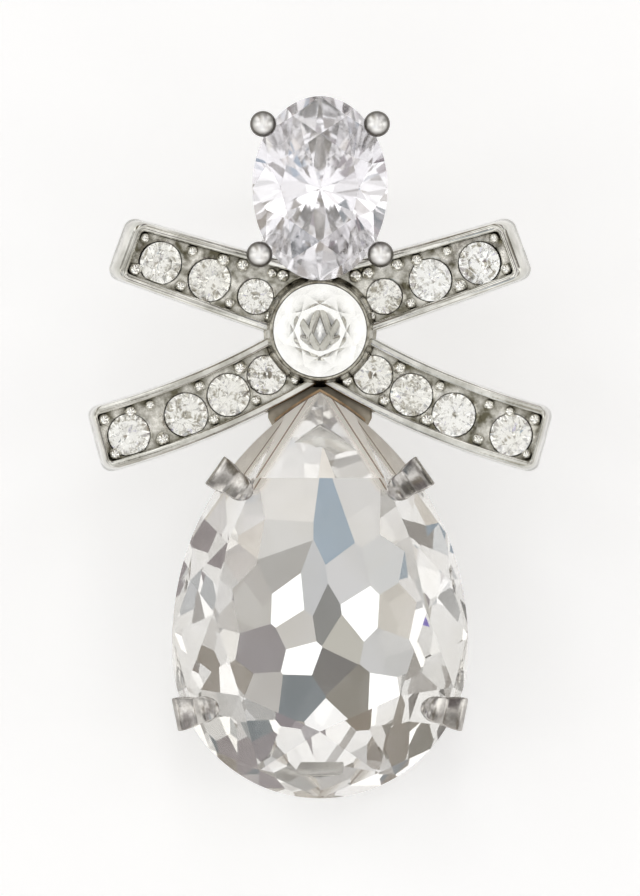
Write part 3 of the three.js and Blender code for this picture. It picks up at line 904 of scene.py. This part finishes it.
def round_cup():
    """The turned cup on the knot: a thin lip round a conical seat, and a chamfer outside it."""
    radius, rim, back = CUP["radius"], CUP["rim_top"], CUP["back_bevel"]
    seat = ROUND["radius"] + CUP["seat_gap"]
    bm = lathe([
        (0, 0), (radius - back, 0), (radius - 0.08, 0.1), (radius, back), (radius, CUP["shoulder"] - 0.06),
        (radius - 0.04, CUP["shoulder"]), (seat + CUP["lip"] + 0.05, CUP["neck_w"]),
        (seat + CUP["lip"] + 0.03, rim - 0.06), (seat + CUP["lip"] - 0.02, rim),
        (seat + 0.02, rim), (seat, rim - 0.03),
        (seat, ROUND["girdle_foot"] - 0.08), (0.3, ROUND["culet_w"] - 0.05), (0, ROUND["culet_w"] - 0.1),
    ])
    return finish_piece("knot_cup", bm, [KNOT_METAL])


def prong(u, v):
    """One prong of the oval basket: a round wire that leans out from the plate, ending in a ball."""
    inward, aside = BASKET["prong_foot"], v - OVAL["centre"]
    foot = Vector((inward * u, OVAL["centre"] + inward * aside, BASKET["prong_foot_w"]))
    ball = Vector((u, v, BASKET["ball_w"]))
    elbow = foot + BASKET["elbow"] * (ball - foot) + BASKET["bulge"] * Vector((u, aside, 0)).normalized()
    line = interpolate_bezier(foot, foot.lerp(elbow, 0.6) + Vector((0, 0, 0.4)), elbow, ball, 14)
    bm = bmesh.new()
    ring = bmesh.ops.create_circle(bm, cap_ends=True, segments=20, radius=BASKET["prong_radius"])["verts"]
    edges = list({e for vert in ring for e in vert.link_edges if len(e.link_faces) == 1})
    lean = Vector((0, 0, 1)).rotation_difference((line[1] - line[0]).normalized())
    for vert in ring:
        vert.co = line[0] + lean @ vert.co
    for a, b in zip(line, line[1:]):
        edges = extrude_loop(bm, edges, lambda co: co + (b - a))
    bmesh.ops.holes_fill(bm, edges=edges, sides=0)
    bmesh.ops.create_uvsphere(
        bm, u_segments=32, v_segments=20, radius=BASKET["ball_radius"], matrix=Matrix.Translation(ball)
    )
    return bm


def oval_prongs():
    """The four prongs round the oval."""
    bm = bmesh.new()
    for u, v in PRONGS:
        for side in (1, -1):
            append(bm, prong(side * u, v))
    return finish_piece("oval_prongs", bm, [PRONG_METAL])


def basket_plate():
    """The oval plate under the oval stone and the neck that joins it to the knot's cup."""
    scale = BASKET["plate_scale"]
    plate = ellipse_outline(OVAL["half_width"] * scale, OVAL["half_height"] * scale, OVAL["centre"], 64)
    bm = prism(plate, 0, BASKET["plate_height"], *CAST_EDGE)
    half, low, high = NECK["half_width"], NECK["from_v"], NECK["to_v"]
    neck = [(-half, low), (half, low), (half, high), (-half, high)]
    append(bm, prism(neck, 0, NECK["height"], *CAST_EDGE))
    return finish_piece("basket_plate", bm, [KNOT_METAL])


def setting_top(scale):
    """Level where the pear setting's wall meets the stone's back, at a scale of its outline."""
    return bowl_height(scale) - STONE_GAP


def pear_wall():
    """The open-backed wall that carries the pear, following the slope of its back facets."""
    outer, inner, back = SETTING["outer_scale"], SETTING["inner_scale"], SETTING["back"]
    centre = SETTING["centre_v"]
    outline = drawn_in(pear_outline(20), outer, centre)
    lowest = min(v for _, v in outline) + SETTING["foot_flat"]
    bm = bmesh.new()
    foot = loop_of(bm, [(u, max(v, lowest), back) for u, v in outline])

    def level(scale_step, w):
        """A move that scales a loop about the setting's middle and takes it to a w."""
        return lambda co: Vector((co.x * scale_step, centre + (co.y - centre) * scale_step, w))

    top = extrude_loop(bm, foot, level(1.0, setting_top(outer)))
    brim = extrude_loop(bm, top, level(inner / outer, setting_top(inner)))
    under = extrude_loop(bm, brim, level(1.0, back))
    bmesh.ops.bridge_loops(bm, edges=foot + under)
    bmesh.ops.recalc_face_normals(bm, faces=bm.faces)
    corners = [e for e in foot + under + top if e.is_valid]
    round_edges(bm, corners, *CAST_EDGE)
    return finish_piece("pear_wall", bm, [RHODIUM])


def claw_line(tip_w):
    """The claw's middle line as (outward from the girdle, w) points: up the side, a flat plate, a nose."""
    over, plate = CLAW["overhang"] - CLAW["thickness"] / 2, CLAW["plate_w"]
    low, high = (over, plate - 0.25), (over - 0.2, plate + 0.1)
    crease, tip = (-CLAW["crease"], plate + CLAW["plate_rise"]), (-CLAW["reach"], tip_w)
    stretches = {
        "rise": ((-1.1, CLAW["root_w"]), (-0.7, 0.4), (over - 0.05, 1.3), low),
        "fold": ((over, plate - 0.2), (over, plate), (over - 0.02, plate + 0.02), high),
        "nose": (crease, (crease[0] - 0.15, crease[1] + 0.1), (-0.95, tip_w + 0.15), tip),
    }
    rise, fold, nose = (interpolate_bezier(*stretches[name], count) for name, count in CLAW_STEPS.items())
    return [Vector((p.x, p.y)) for p in rise[:-1] + fold + nose]


def claw(u, v, lean, tip_w, side):
    """A flat claw: a strip that narrows to a rounded nose, bent along the claw line."""
    line = claw_line(tip_w)
    reach = [0.0]
    for a, b in zip(line, line[1:]):
        reach.append(reach[-1] + (b - a).length)
    half = CLAW["plate_width"] / 2
    bm = arm_plan(reach[-1], half, 0.98 * half)
    raise_faces(bm, bm.faces[:], CLAW["thickness"])
    bmesh.ops.translate(bm, verts=bm.verts, vec=(0, 0, -CLAW["thickness"] / 2))
    round_edges(bm, level_edges(bm), CLAW["edge"])
    slice_across(bm, reach[-1], CLAW["cuts"])
    outward = math.atan2(v - SETTING["centre_v"], side * u) + side * lean
    out = Vector((math.cos(outward), math.sin(outward), 0))
    across = Vector((-out.y, out.x, 0))
    start = Vector((side * u, v, 0))
    shoulder = reach[CLAW_STEPS["rise"]]
    crease = reach[CLAW_STEPS["rise"] + CLAW_STEPS["fold"]]

    def width_at(x):
        """The claw's width at a distance x along it: it widens to the shoulder and narrows to the crease."""
        if x < shoulder:
            return CLAW["root_width"] + (CLAW["plate_width"] - CLAW["root_width"]) * x / shoulder
        share = min(max((x - shoulder) / (crease - shoulder), 0.0), 1.0)
        return CLAW["plate_width"] + (CLAW["nose_width"] - CLAW["plate_width"]) * share ** 2

    def place(co):
        """A point of the flat strip, bent along the line."""
        i = next((k for k in range(1, len(reach)) if reach[k] >= co.x - 1e-9), len(reach) - 1)
        a, b = line[i - 1], line[i]
        point = a.lerp(b, (co.x - reach[i - 1]) / (reach[i] - reach[i - 1]))
        heading = (b - a).normalized()
        spot = point + Vector((heading.y, -heading.x)) * co.z
        wide = co.y * width_at(co.x) / CLAW["plate_width"]
        return start + out * spot.x + across * wide + Vector((0, 0, spot.y))

    bend_to(bm, place)
    return bm


def pear_claws():
    """The four claws that fold over the pear's girdle."""
    bm = bmesh.new()
    for row in CLAWS:
        for side in (1, -1):
            append(bm, claw(*row, side))
    return finish_piece("pear_claws", bm, [CLAW_METAL])


def setting_bridge():
    """The block behind the pear's point that carries its setting on the bow, its metal darkened as painted
    shade.
    """
    right = BRIDGE["outline"]
    outline = right + [(-u, v) for u, v in reversed(right)]
    bm = prism(outline, BRIDGE["back"], BRIDGE["top"], *CAST_EDGE)
    return finish_piece("setting_bridge", bm, [SHADED_BRIDGE_METAL])


def tip_shadow_collar():
    """A thin lip of the bridge that follows the girdle round the pear's point, brown as a painted shadow of
    the gap there.
    """
    half, gap = COLLAR["half_width"], COLLAR["gap"]
    near = sorted((u, v) for u, v in pear_outline(60) if abs(u) < half and v > PEAR["centre"])
    inner = [(u * (1 + gap), v + gap) for u, v in near]
    outer = [(u * (1 + gap), v + gap + COLLAR["width"]) for u, v in near]
    bm = prism(inner + outer[::-1], COLLAR["from_w"], COLLAR["to_w"])
    return finish_piece("tip_shadow_collar", bm, [GAP_SHADOW_METAL])


def post_pad():
    """The turned pad on the back of the bow that the post stands in."""
    radius, thickness = POST["pad_radius"], POST["pad_thickness"]
    hole = POST["radius"] + STONE_GAP
    bm = lathe([
        (hole, -thickness + 0.02), (radius - 0.1, -thickness), (radius - 0.03, -thickness + 0.03),
        (radius, -thickness + 0.1), (radius, 0.2), (hole, 0.2), (hole, -thickness + 0.02),
    ], POST["v"], 64)
    return finish_piece("post_pad", bm, [RHODIUM])


def ear_post():
    """The straight post, with the groove near its tip that a clutch snaps into."""
    radius, tip = POST["radius"], POST["tip"]
    root = POST["socket"] - POST["pad_thickness"] - STONE_GAP
    bm = lathe([
        (0, tip), (radius - 0.2, tip), (radius - 0.06, tip + 0.06), (radius, tip + 0.2),
        (radius, tip + 1.12), (radius - 0.03, tip + 1.17), (radius - 0.09, tip + 1.24),
        (radius - 0.09, tip + 1.51), (radius - 0.03, tip + 1.58), (radius, tip + 1.63),
        (radius, root), (0, root),
    ], POST["v"], 48)
    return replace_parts(finish_piece("post_wire", bm, [POST_STEEL]), "ear_post")


def bow():
    """All the metal of the bow and its settings, with the small stones."""
    for arm, row in ARM_ROWS.items():
        stones = SMALL_STONES[arm]
        for side, hand in ((1, "right"), (-1, "left")):
            bar = ribbon_arm(f"{arm}_{hand}_arm", row, side)
            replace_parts(bar, "bow_mount")
            pave_floor(f"{arm}_{hand}_floor", row, side, stones)
            small_stones(f"{arm}_{hand}_stones", row, side, stones)
            grains(f"{arm}_{hand}_beads", row, side, stones)
    round_cup()
    basket_plate()
    oval_prongs()
    pear_wall()
    pear_claws()
    setting_bridge()
    tip_shadow_collar()
    post_pad()


# ------------------------------------------------------------------ the studio


TABLE = {"radius_m": 3.0, "roughness": 0.75, "specular": 0.2, "glow": 0.285}


def table_top():
    """A pale table, large enough to fill every low view."""
    bm = bmesh.new()
    bmesh.ops.create_circle(bm, cap_ends=True, segments=96, radius=TABLE["radius_m"])
    mesh = bpy.data.meshes.new("table")
    bm.to_mesh(mesh)
    bm.free()
    material, shader = new_material("table_white")
    tree = material.node_tree
    drift = object_noise(tree, 0.002, 2.0)
    colour = colour_ramp(tree, drift.outputs["Fac"], [(0.3, (0.9, 0.9, 0.9)), (0.7, (0.915, 0.915, 0.915))])
    tree.links.new(colour, shader.inputs["Base Color"])
    shader.inputs["Roughness"].default_value = TABLE["roughness"]
    shader.inputs["Specular IOR Level"].default_value = TABLE["specular"]
    shader.inputs["Emission Color"].default_value = (1.0, 1.0, 1.0, 1.0)
    shader.inputs["Emission Strength"].default_value = TABLE["glow"]
    mesh.materials.append(material)
    table = bpy.data.objects.new("table", mesh)
    bpy.context.scene.collection.objects.link(table)


# The tent seen from inside: zones by the tilt from straight out of the earring's face, each with arcs
# by the turn round it. Turns are shares of a circle from the foot of the earring, anticlockwise: 0.25
# is its right. Between two arcs the colour blends.
WHITE = (1.2, 1.2, 1.2)
LAMP = (1.7, 1.7, 1.68)
WARM = (0.82, 0.77, 0.7)
PALE = (0.8, 0.8, 0.8)
GREY = (0.45, 0.445, 0.435)
DUSK = (0.26, 0.22, 0.235)
BROWN = (0.24, 0.2, 0.15)
DARK = (0.13, 0.12, 0.11)
TENT_MIDDLE = [(0.0, 1.0, (0.97, 0.967, 0.957))]
TENT_INNER = [
    (0.0, 0.04, WHITE), (0.06, 0.1, DUSK), (0.12, 0.16, WHITE), (0.18, 0.21, GREY), (0.23, 0.27, LAMP),
    (0.29, 0.33, BROWN), (0.35, 0.39, WHITE), (0.41, 0.45, GREY), (0.47, 0.51, LAMP), (0.53, 0.57, BROWN),
    (0.6, 0.64, WHITE), (0.67, 0.7, GREY), (0.73, 0.77, LAMP), (0.79, 0.82, DUSK), (0.85, 0.9, WHITE),
    (0.95, 1.0, WHITE),
]
TENT_RING = [
    (0.0, 0.06, WHITE), (0.07, 0.13, WARM), (0.14, 0.19, BROWN), (0.2, 0.27, LAMP), (0.28, 0.33, GREY),
    (0.34, 0.41, PALE), (0.42, 0.47, DUSK), (0.48, 0.53, WHITE), (0.54, 0.6, BROWN), (0.61, 0.68, WHITE),
    (0.69, 0.74, GREY), (0.75, 0.81, LAMP), (0.82, 0.88, DUSK), (0.89, 0.94, WARM), (0.95, 1.0, WHITE),
]
TENT_EDGE = [
    (0.0, 0.05, PALE), (0.06, 0.12, LAMP), (0.13, 0.19, GREY), (0.2, 0.28, LAMP), (0.29, 0.35, DARK),
    (0.36, 0.42, WHITE), (0.43, 0.48, DUSK), (0.49, 0.54, PALE), (0.55, 0.6, BROWN), (0.61, 0.66, LAMP),
    (0.67, 0.73, GREY), (0.74, 0.8, LAMP), (0.81, 0.86, DARK), (0.87, 0.93, WARM), (0.94, 1.0, WHITE),
]
TENT_ZONES = [(66, 70, TENT_RING), (49, 52, TENT_INNER), (20, 23, TENT_MIDDLE)]
# Screens, lamps and the lens in front of the tent: tilt, turn in degrees from the right, half angle,
# soft edge and colour.
PANELS = [
    (58, -49, 8, 2, (0.84, 0.82, 0.79)),
    (62, -135, 7, 2, (0.76, 0.75, 0.74)),
    (55, -38, 6, 2, (0.7, 0.69, 0.67)),
    (43, -41, 7, 2, (0.42, 0.41, 0.39)),
    (62, -152, 8, 2, (0.68, 0.69, 0.7)),
    (61, -16, 9, 2, (0.5, 0.48, 0.45)),
    (69, -169, 7, 2, (0.6, 0.56, 0.5)),
    (58, 174, 8, 2, (0.6, 0.6, 0.6)),
    (37, -139, 7, 2, (0.66, 0.66, 0.67)),
    (63, 40, 9, 2, (0.48, 0.46, 0.44)),
    (47, 9, 9, 2, (0.215, 0.19, 0.2)),
    (44, 68, 8, 2, (0.11, 0.14, 0.16)),
    (48, 122, 8, 2, (0.18, 0.16, 0.12)),
    (41, -121, 8, 2, (0.3, 0.39, 0.48)),
    (58, -120, 5, 2, (1.4, 1.4, 1.4)),
    (20, -75, 6, 2, (0.52, 0.54, 0.56)),
    (21, -14, 5, 2, (0.6, 0.58, 0.55)),
    (20, -177, 5, 2, (0.5, 0.48, 0.42)),
    (25, 114, 5, 2, (0.08, 0.07, 0.06)),
    (12, -124, 3.5, 1, (0.16, 0.16, 0.15)),
    (22, 47, 4, 2, (1.5, 1.5, 1.5)),
    (32, -33, 5, 2, (1.5, 1.5, 1.5)),
    (39, -158, 5, 2, (1.5, 1.5, 1.5)),
    (31, -14, 5, 2, (0.85, 0.84, 0.82)),
    (16, -53, 4, 2, (0.3, 0.28, 0.26)),
    (17, -103, 4, 2, (1.4, 1.4, 1.4)),
    (27, 143, 5, 2, (0.3, 0.27, 0.24)),
    (39, -86, 5, 2, (0.3, 0.28, 0.26)),
    (14, 18, 3, 2, (0.3, 0.28, 0.26)),
    (10, -112, 1.6, 0.6, (0.17, 0.1, 0.62)),
]
BACKDROP = (0.93, 0.93, 0.93)  # what the camera itself sees past the table


def light_tent():
    """The world: a pale tent with brighter panels and darker openings that the facets pick up."""
    world = bpy.data.worlds.new("light_tent")
    bpy.context.scene.world = world
    world.use_nodes = True
    tree = world.node_tree
    place = add_node(tree, "ShaderNodeTexCoord")
    facing = TO_ROW.to_3x3().normalized()

    def along(direction):
        """How far a ray points along a direction of the face frame."""
        dot = add_node(tree, "ShaderNodeVectorMath", operation="DOT_PRODUCT")
        dot.inputs[1].default_value = facing @ Vector(direction)
        tree.links.new(place.outputs["Generated"], dot.inputs[0])
        return dot.outputs["Value"]

    def within(direction, low, high):
        """1 within a low angle of a direction, and 0 beyond a high one, in degrees."""
        near, far = math.cos(math.radians(low)), math.cos(math.radians(high))
        return ranged(tree, along(direction), 0.0, 1.0, far, near)

    turn = add_node(tree, "ShaderNodeMath", operation="ARCTAN2")
    tree.links.new(along((-1, 0, 0)), turn.inputs[0])
    tree.links.new(along((0, 1, 0)), turn.inputs[1])
    share = ranged(tree, turn.outputs["Value"], 0.0, 1.0, -math.pi, math.pi)

    def arcs(zone):
        """The colours of a zone round the face."""
        return colour_ramp(tree, share, [(end, tone) for *ends, tone in zone for end in ends])

    colour = arcs(TENT_EDGE)
    for low, high, zone in TENT_ZONES:
        colour = mixed(tree, within((0, 0, 1), low, high), colour, arcs(zone))
    for tilt, degrees, half_angle, edge, panel in PANELS:
        t, d = math.radians(tilt), math.radians(degrees)
        toward = (math.sin(t) * math.cos(d), math.sin(t) * math.sin(d), math.cos(t))
        colour = mixed(tree, within(toward, half_angle - edge / 2, half_angle + edge / 2), colour, panel)
    seen = add_node(tree, "ShaderNodeLightPath")
    colour = mixed(tree, seen.outputs["Is Camera Ray"], colour, BACKDROP)
    tree.links.new(colour, tree.nodes["Background"].inputs["Color"])


CAMERA = {"aim": (0, -5.18, 2.5), "distance_m": 0.5, "sensor_mm": 36.0, "view_m": 0.0395}


def camera():
    """A long lens square to the earring's face. The view is as tall at the aim as its view_m."""
    scene = bpy.context.scene
    lens = bpy.data.cameras.new("camera")
    eye = bpy.data.objects.new("camera", lens)
    scene.collection.objects.link(eye)
    scene.camera = eye
    target = TO_ROW @ Vector(CAMERA["aim"])
    facing = (TO_ROW.to_3x3() @ Vector((0, 0, 1))).normalized()
    lens.lens = CAMERA["sensor_mm"] * CAMERA["distance_m"] / CAMERA["view_m"]
    lens.clip_start = 0.01
    lens.clip_end = 10.0
    eye.location = target + facing * CAMERA["distance_m"]
    eye.rotation_mode = "QUATERNION"
    eye.rotation_quaternion = (-facing).to_track_quat("-Z", "Y")


def studio():
    """The table, the light and the camera, and how far light is followed through the stones."""
    scene = bpy.context.scene
    scene.view_settings.view_transform = "Standard"
    scene.cycles.max_bounces = 24
    scene.cycles.glossy_bounces = 16
    scene.cycles.transmission_bounces = 20
    table_top()
    light_tent()
    camera()


bow()
ear_post()
pear_stone()
oval_stone()
round_stone()
studio()
